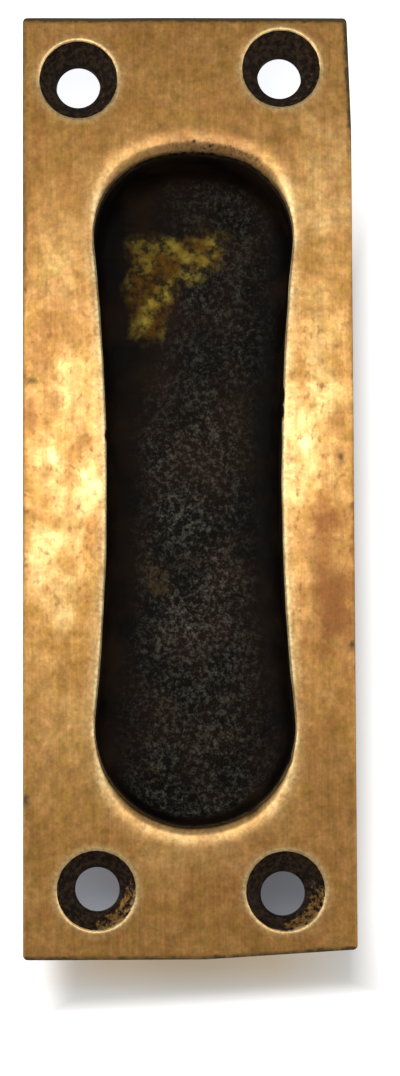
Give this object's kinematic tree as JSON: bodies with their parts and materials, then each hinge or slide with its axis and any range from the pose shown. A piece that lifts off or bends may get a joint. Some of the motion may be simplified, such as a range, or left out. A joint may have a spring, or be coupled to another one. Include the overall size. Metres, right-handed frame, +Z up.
{
  "type": "sliding door pull",
  "caption": "Flush pull for a sliding door: a flat brass plate with countersunk screw holes at its corners and a waisted oblong finger recess with a rolled rim.",
  "frame": {"origin": "middle of the plate's back, which lies on the face of the door", "axes": "+Z up along the plate's length, +X to the right seen from the front, +Y into the door; the face looks along -Y"},
  "size_m": [0.035, 0.012, 0.1],
  "materials": {
    "polished_brass": "filed and hand polished, worn, light brown patina",
    "cast_bronze": "rough sand-cast skin, blackened",
    "brazing_metal": "as run, dull"
  },
  "bodies": {
    "root": {"face_plate": "polished_brass", "finger_cup": "cast_bronze", "braze_fillet": "brazing_metal"}
  },
  "joints": []
}
